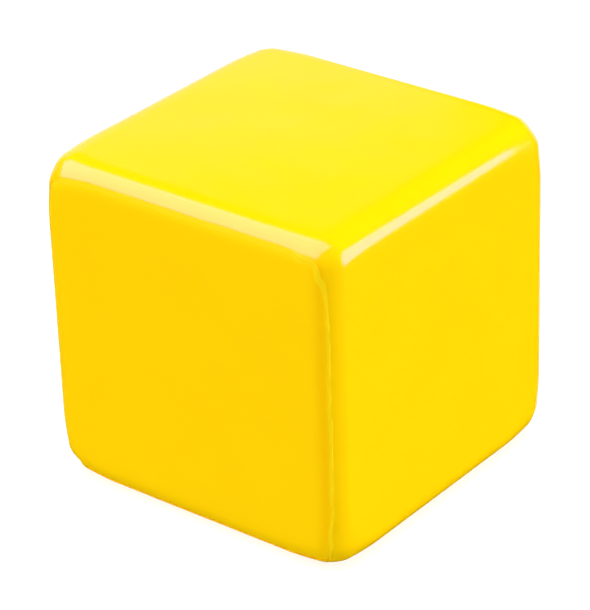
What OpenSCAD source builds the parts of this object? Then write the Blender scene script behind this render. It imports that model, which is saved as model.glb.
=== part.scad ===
// Squeezable foam cube: a block of soft foam in a thin coat, moulded in a deep mould with a shallow lid.
// Frame: +Z up, origin in the middle of the underside, front face (moulded by the lid) towards -Y.
// The foam and the coat behind the lid are each one piece, cut at the middle so that the front can be pressed back.

/* [Cube] */
// Width, left to right (mm)
cube_w = 60; // [45:0.5:70]
// Depth, front to back (mm)
cube_d = 60; // [45:0.5:70]
// Height (mm)
cube_h = 59.3; // [45:0.1:70]
// Radius of the rounded edges and corners (mm)
edge_r = 4.2; // [3:0.1:8]

/* [Coat] */
// Thickness of the coloured coat (mm)
coat_t = 0.4; // [0.3:0.05:0.8]

/* [Parting line] */
// Distance of the parting line behind the front face (mm)
parting_depth = 0.9; // [0.8:0.05:1.5]
// Width of the strip of coat that the flash bead stands on (mm)
flash_w = 0.8; // [0.7:0.05:1]
// Width of the flash bead (mm)
bead_w = 0.4; // [0.3:0.05:0.6]
// Height of the flash bead above the coat (mm)
flash_h = 0.3; // [0.1:0.05:0.3]

/* [Hidden] */
$fn = 96;

front_y = -cube_d / 2;
back_y = cube_d / 2;
middle_y = 0;
parting_y = front_y + parting_depth;
flash_front_y = parting_y - flash_w / 2;
flash_back_y = parting_y + flash_w / 2;

// Centres of the rounded edges, measured from the middle of the cube.
corner_x = cube_w / 2 - edge_r;
corner_y = cube_d / 2 - edge_r;
corner_z = cube_h / 2 - edge_r;

// Radius of the parting line's round corners, where it runs over the cube's rounded edges.
parting_r = sqrt(edge_r ^ 2 - (edge_r - parting_depth) ^ 2);

margin = 1; // how far a cutting block reaches past the cube
sides = [-1, 1];
coat_color = [1, 0.84, 0.05];
foam_color = [0.96, 0.93, 0.8];

// Two rods along Z, one on each side of the middle in X and in Y: four in all.
module four_rods(x, y, length, radius) {
    for (sx = sides, sy = sides)
        translate([sx * x, sy * y, 0])
            cylinder(r = radius, h = length, center = true);
}

// A block with round edges and corners. skin is how far its faces lie inside the cube's outer faces.
module rounded_block(skin) {
    radius = edge_r - skin;
    width = 2 * corner_x;
    depth = 2 * corner_y;
    height = 2 * corner_z;
    translate([0, 0, cube_h / 2]) {
        cube([width, depth, height + 2 * radius], center = true);
        cube([width, depth + 2 * radius, height], center = true);
        cube([width + 2 * radius, depth, height], center = true);
        four_rods(corner_x, corner_y, height, radius);
        rotate([90, 0, 0])
            four_rods(corner_x, corner_z, depth, radius);
        rotate([0, 90, 0])
            four_rods(corner_z, corner_y, width, radius);
        for (x = sides, y = sides, z = sides)
            translate([x * corner_x, y * corner_y, z * corner_z])
                sphere(r = radius);
    }
}

// The space between two planes across Y, wider than the cube.
module slice(from_y, to_y) {
    translate([-cube_w / 2 - margin, from_y, -margin])
        cube([cube_w + 2 * margin, to_y - from_y, cube_h + 2 * margin]);
}

// The part of the coat between two planes across Y.
module coat_slice(from_y, to_y) {
    intersection() {
        difference() {
            rounded_block(0);
            rounded_block(coat_t);
        }
        slice(from_y, to_y);
    }
}

// The part of the foam between two planes across Y.
module foam_slice(from_y, to_y) {
    intersection() {
        rounded_block(coat_t);
        slice(from_y, to_y);
    }
}

// A plate with round corners, centred on the parting plane, whose rim stands proud of the coat all round.
module bead_plate() {
    radius = parting_r + flash_h;
    translate([0, parting_y, cube_h / 2])
        rotate([90, 0, 0])
            linear_extrude(bead_w, center = true) {
                square([2 * corner_x, 2 * (corner_z + radius)], center = true);
                square([2 * (corner_x + radius), 2 * corner_z], center = true);
                for (x = sides, y = sides)
                    translate([x * corner_x, y * corner_z])
                        circle(r = radius);
            }
}

// Coat of the front face, in front of the parting line.
module lid_coat() {
    color(coat_color)
        coat_slice(front_y - margin, flash_front_y);
}

// Strip of coat between the two mould halves, with the bead that stands proud along its middle.
module parting_flash() {
    color(coat_color)
        difference() {
            union() {
                intersection() {
                    rounded_block(0);
                    slice(flash_front_y, flash_back_y);
                }
                bead_plate();
            }
            rounded_block(coat_t);
        }
}

// Front half of the coat that covers the five faces behind the parting line.
module shell_coat_front() {
    color(coat_color)
        coat_slice(flash_back_y, middle_y);
}

// Back half of that coat.
module shell_coat_back() {
    color(coat_color)
        coat_slice(middle_y, back_y + margin);
}

// Front half of the foam block.
module foam_core_front() {
    color(foam_color)
        foam_slice(front_y - margin, middle_y);
}

// Back half of the foam block.
module foam_core_back() {
    color(foam_color)
        foam_slice(middle_y, back_y + margin);
}

lid_coat();
parting_flash();
shell_coat_front();
foam_core_front();
shell_coat_back();
foam_core_back();
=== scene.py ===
"""Looks of a squeezable foam cube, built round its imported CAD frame.

The coat is a glossy skin moulded round one block of foam. A second, flatter and duller piece of coat closes
the front face, and an uneven bead of flash runs along the parting line between the two.
"""

import math

import bmesh
import bpy
import numpy as np
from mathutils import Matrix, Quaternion, Vector, noise


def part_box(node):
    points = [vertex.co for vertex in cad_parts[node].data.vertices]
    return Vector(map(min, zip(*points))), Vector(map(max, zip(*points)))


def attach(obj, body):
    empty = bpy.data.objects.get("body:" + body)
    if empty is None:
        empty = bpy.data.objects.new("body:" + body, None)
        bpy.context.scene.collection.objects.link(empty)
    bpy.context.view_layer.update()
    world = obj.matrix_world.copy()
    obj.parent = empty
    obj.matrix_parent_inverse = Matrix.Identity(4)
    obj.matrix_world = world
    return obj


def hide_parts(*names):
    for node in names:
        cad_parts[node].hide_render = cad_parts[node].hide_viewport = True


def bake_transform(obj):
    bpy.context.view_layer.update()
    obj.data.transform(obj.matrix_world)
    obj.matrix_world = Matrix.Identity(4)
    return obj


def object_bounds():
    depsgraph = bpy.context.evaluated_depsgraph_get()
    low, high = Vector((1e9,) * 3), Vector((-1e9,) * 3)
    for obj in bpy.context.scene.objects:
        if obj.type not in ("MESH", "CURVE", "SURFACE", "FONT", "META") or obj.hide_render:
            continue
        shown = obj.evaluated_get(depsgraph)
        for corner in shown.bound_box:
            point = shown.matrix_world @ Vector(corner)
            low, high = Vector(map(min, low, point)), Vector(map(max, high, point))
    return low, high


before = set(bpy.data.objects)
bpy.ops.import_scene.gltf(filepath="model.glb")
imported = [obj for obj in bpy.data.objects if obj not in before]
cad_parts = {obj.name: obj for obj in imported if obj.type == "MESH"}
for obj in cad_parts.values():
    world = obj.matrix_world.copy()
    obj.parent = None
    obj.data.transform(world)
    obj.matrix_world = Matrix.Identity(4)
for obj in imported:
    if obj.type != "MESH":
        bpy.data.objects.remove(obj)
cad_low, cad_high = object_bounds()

MM = 0.001

# ---------------------------------------------------------------- sizes that come from the frame

CENTRE = np.array((cad_low + cad_high) / 2)
HALF = np.array((cad_high - cad_low) / 2)
COAT_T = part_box("foam_core_front")[0].y - cad_low.y
FLASH_LOW, FLASH_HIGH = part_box("parting_flash")
PARTING_DEPTH = (FLASH_LOW.y + FLASH_HIGH.y) / 2 - cad_low.y

# ---------------------------------------------------------------- sizes of the soft, moulded shape

EDGE_R = 4.2 * MM          # radius in the middle of an edge
CORNER_R = 5.9 * MM        # radius where three edges meet
TIGHT_CORNER = (1, -1, 1)  # the corner that kept a smaller radius: right, front, top
TIGHT_CORNER_R = 4.7 * MM
WIDEN_FROM = 0.6           # share of the half length at which an edge starts to widen

SWELL = 0.03 * MM          # height of the slow waves that the foam leaves in the coat
SWELL_SIZE = 21 * MM
RIPPLE = 0.4               # height of the finer waves on them, as a share of SWELL
RIPPLES_PER_SWELL = 3      # how many times shorter those are
SWELL_SINK = 0.6           # how far in the waves are moved as a whole, as a share of SWELL

TOP_SHALLOWER = 0.44 * MM  # how much nearer to the front face the parting line runs along the top edge
TOP_EDGE = (0.7, 0.25)     # where it moves there: from this share of the half height, and over how much
CORNER_CUT = 0.2 * MM      # how much nearer it runs at the front, top, right-hand corner
CUT_CORNER = (1.7, 0.1)    # the same for that, by the sum of its shares to the right and upwards
BOTTOM_DEEPER = 1.6 * MM   # how much further behind the front face it runs along the bottom edge
BOTTOM_EDGE = (0.82, 0.15)  # the same for that, by its share downwards
WANDER, WANDER_SIZE = 0.03 * MM, 7 * MM      # its slow wander
JITTER, JITTER_SIZE = 0.015 * MM, 1.7 * MM   # its fine one

RIM_SINK = 0.34 * MM       # how far the lid's coat sinks towards the parting line
RIM_REACH = 9.0 * MM       # how far from the parting line that sinking starts
RIM_SQUARENESS = 8         # power that shapes it: 2 would be an ellipse, and a high one is nearly a square
RIM_GAP = 0.15 * MM        # depth from the parting line to the rim of each coat
FOAM_CLEARANCE = 0.01 * MM  # between the foam and the coats

FLASH_HALF_W = 0.34 * MM   # half the width of the flash bead, measured along Y
FLASH_FOOT = 0.03 * MM     # how far its edges are sunk into the coats
FLASH_H = 0.19 * MM        # height of the bead where it stands proudest, on the right
FLASH_LEAST = 0.12         # its height elsewhere, as a share of that
PROUD_EDGE = (0.7, 0.25)   # where it rises: from this share of the half width, and over how much
FLASH_SPREAD = 0.42        # how broad its crest is, as a share of its half width
LUMP, LUMP_SIZE = 0.35, 2.4 * MM      # how much its height changes from lump to lump, as a share
HEAVE, HEAVE_SIZE = 0.25, 8 * MM      # how much it changes more slowly
LEAN, LEAN_SIZE = 0.35, 3.1 * MM      # how far its crest strays sideways, as a share of its half width
SPLAY, SPLAY_SIZE = 0.25, 4.3 * MM    # how much its width changes, as a share
UNDERSIDE = 0.35           # where the two rows of its underside lie, as a share of its half width

# ---------------------------------------------------------------- sizes of the meshes

SIDE_STEPS = 64            # steps along each side of the square rings
SIDE_CROWDING = 1.25       # over 1, they get shorter towards both ends of the side
FLAT_SHARE = 0.8           # share of the front and back faces covered by a plain grid
FRONT_RINGS = 16           # rings from the front grid to the rim of the lid's coat
EDGE_RINGS = 7             # rings from the rim of the other coat to the outline of the front face
FRONT_ROUND_RINGS = 10     # rings over the rest of the rounded front edge
SIDE_RINGS = 32            # rings along the sides
BACK_ROUND_RINGS = 12      # rings over the sides' part of the rounded back edge
BACK_RINGS = 13            # rings from there in to the back grid
ROUND_REACH = 1.05         # how far along the sides the rounded edges' rings go, in corner radii
FLASH_ROWS = 13            # rows over the top of the bead
HALVINGS = 40              # steps of the search for the place that lies at a given depth
SHARP_ANGLE = math.radians(50)   # edges sharper than this, such as a coat's rim, aren't shaded smooth

SEED_STEPS = (7.31, 3.17, 5.93)  # how far apart the noise of one seed lies from the next
NOISE_GAIN = 1.6                 # brings the noise to about -1 to 1


def smooth(t):
    """Smooth step from 0 to 1, clamped."""
    t = np.clip(t, 0.0, 1.0)
    return t * t * (3 - 2 * t)


def rise(value, start, over):
    """0 up to start, 1 once value is over past it, and smooth between."""
    return smooth((value - start) / over)


def waves(points, size, seed):
    """Slow random heights from about -1 to 1 at these points, the same on every run."""
    offset = Vector([seed * step for step in SEED_STEPS])
    return np.array([noise.noise(Vector(p) / size + offset) for p in points]) * NOISE_GAIN


def block(p):
    """How the points p on the cube from -1 to 1 are rounded: (centre, radius, outward direction) of each."""
    smallest = np.abs(p).min(axis=1)
    widen = smooth((smallest - WIDEN_FROM) / (1 - WIDEN_FROM))
    tight = (p * TIGHT_CORNER > 0).all(axis=1)
    corner_r = np.where(tight, TIGHT_CORNER_R, CORNER_R)
    radius = (EDGE_R + (corner_r - EDGE_R) * widen)[:, None]
    target = p * HALF
    inner = np.clip(target, radius - HALF, HALF - radius)
    out = target - inner
    out /= np.linalg.norm(out, axis=1)[:, None]
    return CENTRE + inner, radius, out


def on_block(p, skin=0.0):
    """Surface of the rounded cube, skin metres below the outside."""
    inner, radius, out = block(p)
    return inner + (radius - skin) * out


# ---------------------------------------------------------------- rings that the coats, flash and foam share

def side_steps():
    """Places from -1 to 1 along one side of the square, closer together over the rounded ends."""
    even = np.linspace(-1, 1, SIDE_STEPS + 1)
    return np.sign(even) * (1 - (1 - np.abs(even)) ** SIDE_CROWDING)


def square_ring():
    """Places (x, z) on the unit square's outline, anticlockwise seen from the front."""
    s = side_steps()[:-1]
    one = np.ones_like(s)
    return np.vstack([np.c_[s, -one], np.c_[one, s], np.c_[-s, one], np.c_[-one, -s]])


RING = square_ring()
NEXT = np.roll(np.arange(len(RING)), -1)


def face_ring(share, end):
    """A ring on the front (end -1) or back (end 1) face, at this share of the way out to the edge."""
    share = np.broadcast_to(share, len(RING))
    return np.c_[RING[:, 0] * share, np.full(len(RING), float(end)), RING[:, 1] * share]


def side_ring(y):
    """A ring round the four sides, at y from -1 to 1."""
    return np.c_[RING[:, 0], np.full(len(RING), float(y)), RING[:, 1]]


def share_at_depth(depth):
    """How far out on the front face each ring point comes to lie at this depth behind the face."""
    low, high = np.full(len(RING), FLAT_SHARE), np.ones(len(RING))
    for _ in range(HALVINGS):
        middle = (low + high) / 2
        shallow = on_block(face_ring(middle, -1))[:, 1] - cad_low.y < depth
        low = np.where(shallow, middle, low)
        high = np.where(shallow, high, middle)
    return (low + high) / 2


def parting_depths():
    """Depth of the parting line behind the front face at each ring point.

    It is nearly level along the sides, less deep along the top and deeper underneath, with a slight wander.
    """
    level = on_block(face_ring(share_at_depth(PARTING_DEPTH), -1))
    right, _, height = ((level - CENTRE) / HALF).T
    on_top = rise(height, *TOP_EDGE)
    at_corner = rise(right + height, *CUT_CORNER)
    below = rise(-height, *BOTTOM_EDGE)
    wander = WANDER * waves(level, WANDER_SIZE, 1) + JITTER * waves(level, JITTER_SIZE, 2)
    return PARTING_DEPTH - TOP_SHALLOWER * on_top - CORNER_CUT * at_corner + BOTTOM_DEEPER * below + wander


DEPTHS = parting_depths()


class Skin:
    """A sheet of the cube's surface: points on the cube from -1 to 1, quads between them, and its rings."""

    def __init__(self):
        self.points = np.empty((0, 3))
        self.quads = []
        self.rings = []

    def add_points(self, points):
        numbers = np.arange(len(points)) + len(self.points)
        self.points = np.vstack([self.points, points])
        return numbers

    def add_ring(self, points):
        self.join(self.add_points(points))

    def join(self, numbers):
        if self.rings:
            last = self.rings[-1]
            self.quads += [(last[i], numbers[i], numbers[j], last[j]) for i, j in enumerate(NEXT)]
        self.rings.append(numbers)

    def add_cap(self, end):
        """The plain grid in the middle of the front (end -1) or back (end 1) face."""
        s = side_steps() * FLAT_SHARE
        n = len(s)
        x, z = np.meshgrid(s, s, indexing="ij")
        numbers = self.add_points(np.c_[x.ravel(), np.full(x.size, float(end)), z.ravel()])
        at = numbers.reshape(n, n)
        for i in range(n - 1):
            for j in range(n - 1):
                quad = (at[i, j], at[i + 1, j], at[i + 1, j + 1], at[i, j + 1])
                self.quads.append(quad if end < 0 else quad[::-1])
        self.join(np.concatenate([at[:-1, 0], at[-1, :-1], at[:0:-1, -1], at[0, :0:-1]]))


def add_front(skin, rim_share):
    """Front cap and the rings out to rim_share of the way to the edge."""
    skin.add_cap(-1)
    for step in np.linspace(0, 1, FRONT_RINGS + 1)[1:]:   # closer together beside the grid
        skin.add_ring(face_ring(FLAT_SHARE + (rim_share - FLAT_SHARE) * smooth(step * 0.5) * 2, -1))


def add_sides_and_back(skin, rim_share):
    """Rings from rim_share on the front face, along the sides and in over the back, and the back's cap."""
    for step in np.linspace(0, 1, EDGE_RINGS):
        skin.add_ring(face_ring(rim_share + (1 - rim_share) * step, -1))
    reach = CORNER_R / HALF[1] * ROUND_REACH
    for y in np.linspace(-1, -1 + reach, FRONT_ROUND_RINGS + 1)[1:]:
        skin.add_ring(side_ring(y))
    for y in np.linspace(-1 + reach, 1 - reach, SIDE_RINGS + 1)[1:]:
        skin.add_ring(side_ring(y))
    for y in np.linspace(1 - reach, 1, BACK_ROUND_RINGS + 1)[1:]:
        skin.add_ring(side_ring(y))
    for share in np.linspace(1, FLAT_SHARE, BACK_RINGS + 2)[1:-1]:
        skin.add_ring(face_ring(share, 1))
    skin.add_cap(1)


# ---------------------------------------------------------------- shape of the surface

def lid_sink(points):
    """How far each point of the lid's coat lies below the plain rounded cube: it sinks towards its rim."""
    away = np.abs(points - CENTRE)
    reach = HALF - PARTING_DEPTH
    power = RIM_SQUARENESS
    across = ((away[:, 0] / reach[0]) ** power + (away[:, 2] / reach[2]) ** power) ** (1 / power)
    from_rim = (1 - across) * reach[0]
    return RIM_SINK * np.clip(1 - from_rim / RIM_REACH, 0, 1) ** 2


def swell(points):
    """The slow waves that shrinking foam leaves in the faces."""
    ripples = waves(points, SWELL_SIZE / RIPPLES_PER_SWELL, 4)
    return SWELL * (waves(points, SWELL_SIZE, 3) + RIPPLE * ripples - SWELL_SINK)


def shell_surface(p, skin=0.0):
    """The rounded cube with its swells, skin metres below the outside."""
    surface = on_block(p)
    _, _, out = block(p)
    return surface + (swell(surface) - skin)[:, None] * out


def lid_surface(p, skin=0.0):
    """The same on the lid's side of the parting line, sunk at the rim."""
    surface = shell_surface(p, skin)
    surface[:, 1] += lid_sink(on_block(p))
    return surface


# ---------------------------------------------------------------- meshes

def new_piece(name, points, faces, material):
    """A smooth-shaded mesh with its faces turned outwards."""
    mesh = bpy.data.meshes.new(name)
    mesh.from_pydata([tuple(p) for p in points], [], [tuple(int(k) for k in f) for f in faces])
    work = bmesh.new()
    work.from_mesh(mesh)
    bmesh.ops.recalc_face_normals(work, faces=work.faces)
    work.to_mesh(mesh)
    work.free()
    mesh.polygons.foreach_set("use_smooth", [True] * len(mesh.polygons))
    mesh.set_sharp_from_angle(angle=SHARP_ANGLE)
    mesh.materials.append(material)
    piece = bpy.data.objects.new(name, mesh)
    bpy.context.scene.collection.objects.link(piece)
    return piece


def coat_piece(name, skin, rim, surface, material):
    """A sheet of the cube's surface made into a coat of even thickness, closed along its rim ring."""
    count = len(skin.points)
    points = np.vstack([surface(skin.points), surface(skin.points, COAT_T)])
    inside = [tuple(k + count for k in reversed(q)) for q in skin.quads]
    edge = [(rim[i], rim[i] + count, rim[j] + count, rim[j]) for i, j in enumerate(NEXT)]
    return new_piece(name, points, skin.quads + inside + edge, material)


def make_lid_coat(material):
    skin = Skin()
    add_front(skin, share_at_depth(DEPTHS - RIM_GAP))
    return coat_piece("coat_lid", skin, skin.rings[-1], lid_surface, material)


def make_shell_coat(material):
    skin = Skin()
    add_sides_and_back(skin, share_at_depth(DEPTHS + RIM_GAP))
    return coat_piece("coat_shell", skin, skin.rings[0], shell_surface, material)


def make_foam_core(material):
    """The whole block of foam, just inside both coats."""
    skin = Skin()
    add_front(skin, share_at_depth(DEPTHS - RIM_GAP))
    front_count = len(skin.points)
    add_sides_and_back(skin, share_at_depth(DEPTHS + RIM_GAP))
    depth = COAT_T + FOAM_CLEARANCE
    points = np.vstack([
        lid_surface(skin.points[:front_count], depth),
        shell_surface(skin.points[front_count:], depth),
    ])
    return new_piece("foam_core", points, skin.quads, material)


def flash_profile(across, crest, lean):
    """Height of the bead at these places across it, from -1 to 1, for a crest height and its offset."""
    return crest * np.exp(-((across - lean) / FLASH_SPREAD) ** 2)


def bead_row(place, width, height):
    """A row of the bead, at this place from -1 on the lid to 1 on the shell, this high over the coats."""
    line = face_ring(share_at_depth(DEPTHS + place * width), -1)
    _, _, out = block(line)
    on_shell = smooth((place + 1) / 2)
    return lid_surface(line) * (1 - on_shell) + shell_surface(line) * on_shell + out * height[:, None]


def make_flash(material):
    """The bead along the parting line, which wanders, thins out and thickens. It is proudest on the right."""
    line = on_block(face_ring(share_at_depth(DEPTHS), -1))
    proud = FLASH_LEAST + (1 - FLASH_LEAST) * rise(line[:, 0] / HALF[0], *PROUD_EDGE)
    crest = FLASH_H * proud * (1 + LUMP * waves(line, LUMP_SIZE, 5) + HEAVE * waves(line, HEAVE_SIZE, 6))
    lean = LEAN * waves(line, LEAN_SIZE, 7)
    width = FLASH_HALF_W * (1 + SPLAY * np.clip(waves(line, SPLAY_SIZE, 8), -1, 1))
    rows = []
    for place in np.linspace(-1, 1, FLASH_ROWS):
        rows.append(bead_row(place, width, flash_profile(place, crest, lean) - FLASH_FOOT * abs(place)))
    for place in (UNDERSIDE, -UNDERSIDE):
        rows.append(bead_row(place, width, np.full(len(RING), FLASH_FOOT - COAT_T)))
    count = len(RING)
    faces = []
    for row in range(len(rows)):
        a, b = row * count, (row + 1) % len(rows) * count
        faces += [(a + i, a + j, b + j, b + i) for i, j in enumerate(NEXT)]
    return new_piece("flash_bead", np.vstack(rows), faces, material)


# ---------------------------------------------------------------- materials

CLOUD_SIZE = 14 * MM             # patches of slightly deeper yellow
PATCH_SIZE = 5 * MM              # patches of slightly different gloss
PATCH_ROUGHNESS = (0.88, 1.15)   # lowest and highest roughness in them, as shares of the coat's
PEEL_SIZE = 1.3 * MM             # orange peel
GRAIN_SIZE = 0.3 * MM
GRAIN_SHARE = 0.3                # height of the grain, as a share of the peel's
PINHOLE_SPACING = 9 * MM
PINHOLE_R = 0.14 * MM
PINHOLE_DEPTH = 0.03 * MM
PINHOLE_FLAT = 0.4               # share of a pinhole's radius that lies at its full depth
PINHOLE_PICK = (0.62, 0.7)       # a cell whose random number is over these has one
PINHOLE_SHADE = 0.8              # painted shade in a pinhole: its colour as a share of the coat's
RUN_AND_SHADE_FROM, RUN_AND_SHADE_FULL = 4.5 * MM, 2 * MM       # distances in from the right where the run and its painted shade start and are full
RUN_AND_SHADE_FADE_AHEAD, RUN_AND_SHADE_FADE_BEHIND = 0.25 * MM, 0.3 * MM   # how far it fades in and out along Y
TORN_SIZE = 0.5 * MM             # unevenness of the flash
TORN_DEPTH = 0.03 * MM
TORN_ROUGHNESS = (0.22, 0.5)
TORN_SHADE = 0.93
CELL_SIZE = 0.7 * MM             # holes in the foam
CELL_DEPTH = 0.2 * MM
# painted shade in the foam's holes, as a share of its colour
CELL_SHADE = 0.55

def material_nodes(name):
    """A new node material: (material, its nodes, its links, its Principled shader, object coordinates)."""
    material = bpy.data.materials.new(name)
    material.use_nodes = True
    nodes, links = material.node_tree.nodes, material.node_tree.links
    place = nodes.new("ShaderNodeTexCoord").outputs["Object"]
    return material, nodes, links, nodes["Principled BSDF"], place


def noise_node(nodes, links, place, size, detail):
    """Cloudy noise around 0.5, with features of about this size."""
    node = nodes.new("ShaderNodeTexNoise")
    node.inputs["Scale"].default_value = 1 / size
    node.inputs["Detail"].default_value = detail
    links.new(place, node.inputs["Vector"])
    return node.outputs["Fac"]


def remap(nodes, links, value, low, high, to_low, to_high):
    node = nodes.new("ShaderNodeMapRange")
    node.inputs["From Min"].default_value = low
    node.inputs["From Max"].default_value = high
    node.inputs["To Min"].default_value = to_low
    node.inputs["To Max"].default_value = to_high
    links.new(value, node.inputs["Value"])
    return node.outputs["Result"]


def product(nodes, links, a, b):
    node = nodes.new("ShaderNodeMath")
    node.operation = "MULTIPLY"
    links.new(a, node.inputs[0])
    links.new(b, node.inputs[1])
    return node.outputs[0]


def mix_colours(nodes, links, share, a, b):
    """Colour between a and b. Each is a colour or another node's output."""
    node = nodes.new("ShaderNodeMix")
    node.data_type = "RGBA"
    links.new(share, node.inputs["Factor"])
    colour_sockets = [socket for socket in node.inputs if socket.type == "RGBA"]
    for socket, colour in zip(colour_sockets, (a, b)):
        if isinstance(colour, tuple):
            socket.default_value = (*colour, 1)
        else:
            links.new(colour, socket)
    return next(socket for socket in node.outputs if socket.type == "RGBA")


def bump(nodes, links, height, strength, distance, under=None):
    node = nodes.new("ShaderNodeBump")
    node.inputs["Strength"].default_value = strength
    node.inputs["Distance"].default_value = distance
    links.new(height, node.inputs["Height"])
    if under is not None:
        links.new(under, node.inputs["Normal"])
    return node.outputs["Normal"]


def pinholes(nodes, links, place, spacing, radius):
    """0 nearly everywhere, rising to 1 in small round pits, in about one in three cells of this spacing."""
    cells = nodes.new("ShaderNodeTexVoronoi")
    cells.inputs["Scale"].default_value = 1 / spacing
    links.new(place, cells.inputs["Vector"])
    outer, inner = radius / spacing, PINHOLE_FLAT * radius / spacing
    pit = remap(nodes, links, cells.outputs["Distance"], outer, inner, 0, 1)
    pick = nodes.new("ShaderNodeSeparateColor")
    links.new(cells.outputs["Color"], pick.inputs["Color"])
    chosen = remap(nodes, links, pick.outputs["Red"], *PINHOLE_PICK, 0, 1)
    return product(nodes, links, pit, chosen)


def run_and_shade_beside_parting_line(nodes, links, place):
    """1 on the front right-hand edge up to the parting line, 0 elsewhere: where the coat has run together,
    with painted shade beside the bead.
    """
    axes = nodes.new("ShaderNodeSeparateXYZ")
    links.new(place, axes.inputs["Vector"])
    parting_y = cad_low.y + PARTING_DEPTH
    right = remap(nodes, links, axes.outputs["X"], HALF[0] - RUN_AND_SHADE_FROM, HALF[0] - RUN_AND_SHADE_FULL, 0, 1)
    ahead = remap(nodes, links, axes.outputs["Y"], cad_low.y, cad_low.y + RUN_AND_SHADE_FADE_AHEAD, 0, 1)
    behind = remap(nodes, links, axes.outputs["Y"], parting_y - RUN_AND_SHADE_FADE_BEHIND, parting_y, 1, 0)
    return product(nodes, links, right, product(nodes, links, ahead, behind))


def coat_material(name, colour, deep_colour, roughness, specular, texture):
    """In-mould paint on foam: even yellow, faintly cloudy, with fine orange peel, a few pinholes with painted
    shade in them, and painted shade beside the parting line.
    """
    material, nodes, links, shader, place = material_nodes(name)
    cloud = remap(nodes, links, noise_node(nodes, links, place, CLOUD_SIZE, 4), 0.35, 0.7, 0, 1)
    pits = pinholes(nodes, links, place, PINHOLE_SPACING, PINHOLE_R)
    painted = mix_colours(nodes, links, cloud, colour, deep_colour)
    # painted shade, partly the coat's own deeper run, on the lid's rim beside the parting line
    painted = mix_colours(nodes, links, run_and_shade_beside_parting_line(nodes, links, place), painted, RUN_AND_SHADE_YELLOW)
    # painted shade in the pinholes
    painted_pit_shade = tuple(PINHOLE_SHADE * c for c in deep_colour)
    links.new(mix_colours(nodes, links, pits, painted, painted_pit_shade), shader.inputs["Base Color"])
    patch = noise_node(nodes, links, place, PATCH_SIZE, 5)
    low, high = (roughness * share for share in PATCH_ROUGHNESS)
    links.new(remap(nodes, links, patch, 0.3, 0.7, low, high), shader.inputs["Roughness"])
    shader.inputs["Specular IOR Level"].default_value = specular
    peel = bump(nodes, links, noise_node(nodes, links, place, PEEL_SIZE, 2), 0.5, texture)
    fine = noise_node(nodes, links, place, GRAIN_SIZE, 2)
    grain = bump(nodes, links, fine, 0.5, texture * GRAIN_SHARE, peel)
    links.new(bump(nodes, links, pits, -0.5, PINHOLE_DEPTH, grain), shader.inputs["Normal"])
    return material


def flash_material(name, colour):
    """Flash: the same paint, painted paler as painted light on the bead, and duller and rough where it was
    torn off.
    """
    material, nodes, links, shader, place = material_nodes(name)
    torn = noise_node(nodes, links, place, TORN_SIZE, 4)
    duller = tuple(TORN_SHADE * c for c in colour)
    links.new(mix_colours(nodes, links, torn, colour, duller), shader.inputs["Base Color"])
    links.new(remap(nodes, links, torn, 0.3, 0.7, *TORN_ROUGHNESS), shader.inputs["Roughness"])
    shader.inputs["Specular IOR Level"].default_value = 0.4
    links.new(bump(nodes, links, torn, 0.5, TORN_DEPTH), shader.inputs["Normal"])
    return material


def foam_material(name, colour):
    """Open-cell foam: pale, matt and full of fine holes, with painted shade in them."""
    material, nodes, links, shader, place = material_nodes(name)
    cells = nodes.new("ShaderNodeTexVoronoi")
    cells.inputs["Scale"].default_value = 1 / CELL_SIZE
    links.new(place, cells.inputs["Vector"])
    hole = remap(nodes, links, cells.outputs["Distance"], 0.15, 0.6, 1, 0)
    # painted shade in the holes
    painted_hole_shade = tuple(CELL_SHADE * c for c in colour)
    links.new(mix_colours(nodes, links, hole, colour, painted_hole_shade), shader.inputs["Base Color"])
    shader.inputs["Roughness"].default_value = 0.95
    links.new(bump(nodes, links, hole, -0.8, CELL_DEPTH), shader.inputs["Normal"])
    return material


# ---------------------------------------------------------------- stage

CAMERA_AZIMUTH = 38.8
CAMERA_ELEVATION = 28.16
CAMERA_ROLL = -1.98
CAMERA_DISTANCE = 0.500
CAMERA_AIM_RIGHT = -0.85 * MM   # where the lens points, seen from the cube's centre
CAMERA_AIM_UP = -1.57 * MM
CAMERA_LENS = 176.7
CAMERA_SENSOR_W = 36

MIRRORED_TINT = (1.0, 0.15, 1.0)   # much blue and little green on the yellow, so highlights come out cream
LAMP_POWER = 4                     # power of an area lamp for each square metre and unit of radiance
TABLE_LAMP_DROP = 2 * MM           # how far below the cube the light table's lamp lies

FLOOR_HALF = 3.0
FLOOR_GREY = (0.35, 0.35, 0.35)    # takes the shadow
FLOOR_GLOW = 0.75                  # brings the rest up to white


def direction(azimuth, elevation):
    """Unit vector from the cube towards that azimuth (0 is the front) and elevation, in degrees."""
    a, e = math.radians(azimuth), math.radians(elevation)
    return Vector((math.sin(a) * math.cos(e), -math.cos(a) * math.cos(e), math.sin(e)))


def make_camera():
    data = bpy.data.cameras.new("camera")
    data.lens = CAMERA_LENS
    data.sensor_width = CAMERA_SENSOR_W
    camera = bpy.data.objects.new("camera", data)
    back = direction(CAMERA_AZIMUTH, CAMERA_ELEVATION)
    turn = (-back).to_track_quat("-Z", "Y") @ Quaternion((0, 0, 1), math.radians(CAMERA_ROLL))
    aim = Vector(CENTRE) + turn @ Vector((CAMERA_AIM_RIGHT, CAMERA_AIM_UP, 0))
    camera.rotation_mode = "QUATERNION"
    camera.rotation_quaternion = turn
    camera.location = aim + back * CAMERA_DISTANCE
    bpy.context.scene.collection.objects.link(camera)
    bpy.context.scene.camera = camera


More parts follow.
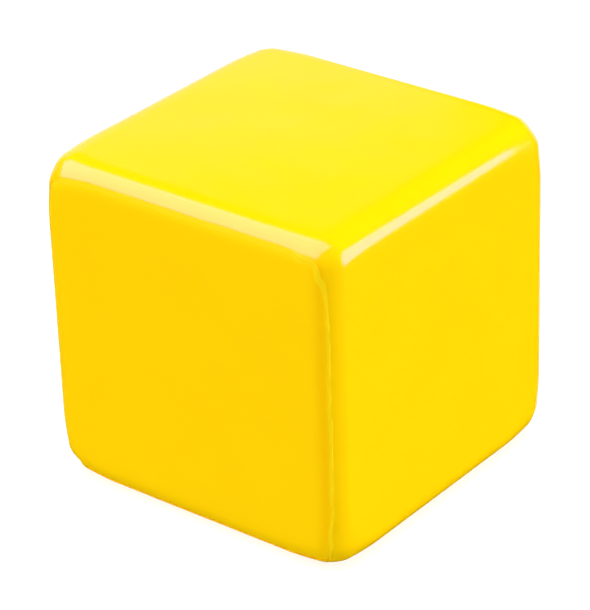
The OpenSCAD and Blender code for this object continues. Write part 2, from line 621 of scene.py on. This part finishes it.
def panel(name, place, shines, size, radiance, mirrored, turn=0.0, tint=MIRRORED_TINT, shape="RECTANGLE"):
    """A flat light at a place seen from the cube's centre. It points along shines, and its size is in metres.

    If mirrored, it shows only as a reflection in the gloss, and otherwise it only lights the colour.
    """
    data = bpy.data.lights.new(name, "AREA")
    data.shape = shape
    data.size, data.size_y = size
    data.energy = radiance * LAMP_POWER * size[0] * size[1] * (math.pi / 4 if shape == "ELLIPSE" else 1)
    if mirrored:
        data.color = tint
    data.cycles.use_multiple_importance_sampling = mirrored
    light = bpy.data.objects.new(name, data)
    light.location = Vector(CENTRE) + place
    light.rotation_mode = "QUATERNION"
    light.rotation_quaternion = shines.to_track_quat("-Z", "Y") @ Quaternion((0, 0, 1), math.radians(turn))
    light.visible_camera = False
    light.visible_diffuse = not mirrored
    light.visible_glossy = mirrored
    bpy.context.scene.collection.objects.link(light)


def far_panel(name, azimuth, elevation, size, radiance, mirrored, **more):
    """A panel a metre away from the cube and facing it."""
    place = direction(azimuth, elevation)
    panel(name, place, -place, size, radiance, mirrored, **more)


def make_lights():
    """Lamps for the gloss, then for the colour: place or azimuth and elevation, size, radiance, mirrored."""
    down, up = Vector((0, 0, -1)), Vector((0, 0, 1))
    panel("key_panel", Vector((-1.31, -0.91, 1.0)), down, (3.4, 2.16), 3.9, True, turn=-6)
    far_panel("right_strip", 122, 5.5, (0.7, 0.72), 5.8, True, shape="ELLIPSE")
    far_panel("back_wall", 232.5, 12.7, (0.64, 0.48), 0.6, True)
    far_panel("low_wall", 216, -18, (1.4, 0.86), 0.5, True, tint=(1, 1, 1))
    panel("overhead", Vector((0, 0, 1.2)), down, (1.3, 1.3), 2.95, False)
    far_panel("left_fill", -58, 14, (0.7, 0.7), 4.0, False)
    far_panel("right_fill", 137, 10, (0.7, 0.7), 4.0, False)
    far_panel("camera_fill", 55, 15, (0.7, 0.7), 2.8, False)
    far_panel("back_fill", -140, 20, (0.9, 0.9), 2.4, False)
    panel("light_table", Vector((0, 0, -CENTRE[2] - TABLE_LAMP_DROP)), up, (1.2, 1.2), 0.58, False)


def make_world():
    """A white backdrop, which lights nothing."""
    world = bpy.data.worlds.new("world")
    bpy.context.scene.world = world
    world.use_nodes = True
    world.node_tree.nodes["Background"].inputs["Color"].default_value = (1, 1, 1, 1)
    world.cycles_visibility.glossy = False
    world.cycles_visibility.diffuse = False


def make_floor():
    """A plain white light table. It keeps the cube's shadow faint, and its light on the cube is a panel's."""
    mesh = bpy.data.meshes.new("floor")
    corners = [(-1, -1), (1, -1), (1, 1), (-1, 1)]
    mesh.from_pydata([(FLOOR_HALF * x, FLOOR_HALF * y, cad_low.z) for x, y in corners], [], [(0, 1, 2, 3)])
    material = bpy.data.materials.new("floor")
    material.use_nodes = True
    material.cycles.emission_sampling = "NONE"
    shader = material.node_tree.nodes["Principled BSDF"]
    shader.inputs["Base Color"].default_value = (*FLOOR_GREY, 1)
    shader.inputs["Roughness"].default_value = 0.9
    shader.inputs["Specular IOR Level"].default_value = 0
    shader.inputs["Emission Color"].default_value = (1, 1, 1, 1)
    shader.inputs["Emission Strength"].default_value = FLOOR_GLOW
    mesh.materials.append(material)
    floor = bpy.data.objects.new("floor", mesh)
    floor.visible_diffuse = False
    floor.visible_glossy = False
    floor.visible_shadow = False
    bpy.context.scene.collection.objects.link(floor)


# ---------------------------------------------------------------- the cube

COAT_YELLOW = (0.95, 0.600, 0.0015)
COAT_DEEP = (0.94, 0.590, 0.0015)
# deeper yellow beside the parting line: partly the coat's own run, partly painted shade beside the bead
RUN_AND_SHADE_YELLOW = (0.94, 0.53, 0.001)
# paler than the coat: painted light that brightens the bead
FLASH_LIT_YELLOW = (0.99, 0.68, 0.004)
FOAM_CREAM = (0.86, 0.80, 0.58)


def build():
    shell_paint = coat_material("shell_paint", COAT_YELLOW, COAT_DEEP,
                                roughness=0.15, specular=0.5, texture=0.02 * MM)
    lid_paint = coat_material("lid_paint", COAT_YELLOW, COAT_DEEP,
                              roughness=0.4, specular=0.08, texture=0.01 * MM)
    flash_paint = flash_material("flash_paint", FLASH_LIT_YELLOW)
    foam = foam_material("foam", FOAM_CREAM)
    lid = make_lid_coat(lid_paint)
    flash = make_flash(flash_paint)
    shell = make_shell_coat(shell_paint)
    core = make_foam_core(foam)

    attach(lid, "front")
    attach(flash, "front")
    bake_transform(shell)
    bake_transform(core)
    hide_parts("lid_coat")
    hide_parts("parting_flash")
    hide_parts("shell_coat_front", "shell_coat_back")
    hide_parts("foam_core_front", "foam_core_back")


bpy.context.scene.view_settings.view_transform = "Standard"
make_camera()
make_lights()
make_world()
make_floor()
build()
